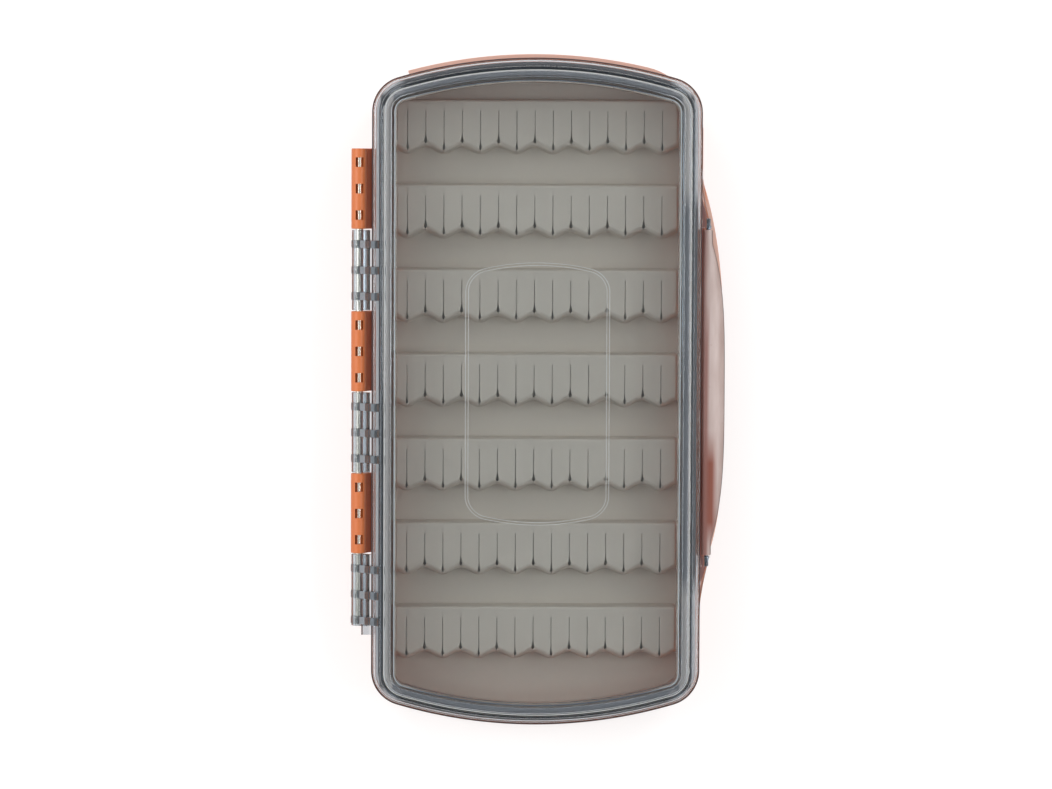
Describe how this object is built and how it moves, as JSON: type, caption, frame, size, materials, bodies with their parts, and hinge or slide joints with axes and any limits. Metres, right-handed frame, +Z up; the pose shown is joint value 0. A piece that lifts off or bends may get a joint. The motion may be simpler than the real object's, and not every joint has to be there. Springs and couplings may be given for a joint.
{
  "type": "fly box",
  "caption": "Pocket fly box: opaque tray with a slotted silicone mat, clear hinged lid with a raised window and a clear bow-shaped side latch.",
  "frame": {"origin": "centre of the tray's flat underside, at half the lid's width and length", "axes": "+X from the hinge to the latch, +Y along the case, +Z up from the rest face"},
  "size_m": [0.1013, 0.1824, 0.0301],
  "materials": {
    "tray_plastic": "burnt orange moulded plastic, satin",
    "mat_silicone": "warm grey moulded silicone, matte",
    "adhesive_film": "thin pale adhesive film",
    "pin_steel": "bright drawn wire",
    "lid_clear": "clear smoke-tinted moulded plastic, polished",
    "gasket_rubber": "soft pale grey silicone cord",
    "latch_clear": "clear smoke-tinted moulded plastic, polished"
  },
  "bodies": {
    "base": {"tray": "tray_plastic", "silicone_mat": "mat_silicone", "mat_adhesive_film": "adhesive_film", "hinge_pin": "pin_steel"},
    "lid": {"lid_shell": "lid_clear", "lid_gasket": "gasket_rubber", "latch_pins": "pin_steel"},
    "latch": {"latch": "latch_clear"}
  },
  "joints": [
    {"name": "lid_hinge", "type": "hinge", "parent": "base", "child": "lid", "pos_m": [-0.0478, 0, 0.01915], "axis": [0, -1, 0], "range_deg": [0, 180]},
    {"name": "latch_pivot", "type": "hinge", "parent": "lid", "child": "latch", "pos_m": [0.0462, 0, 0.0209], "axis": [0, -1, 0], "range_deg": [0, 100]}
  ]
}
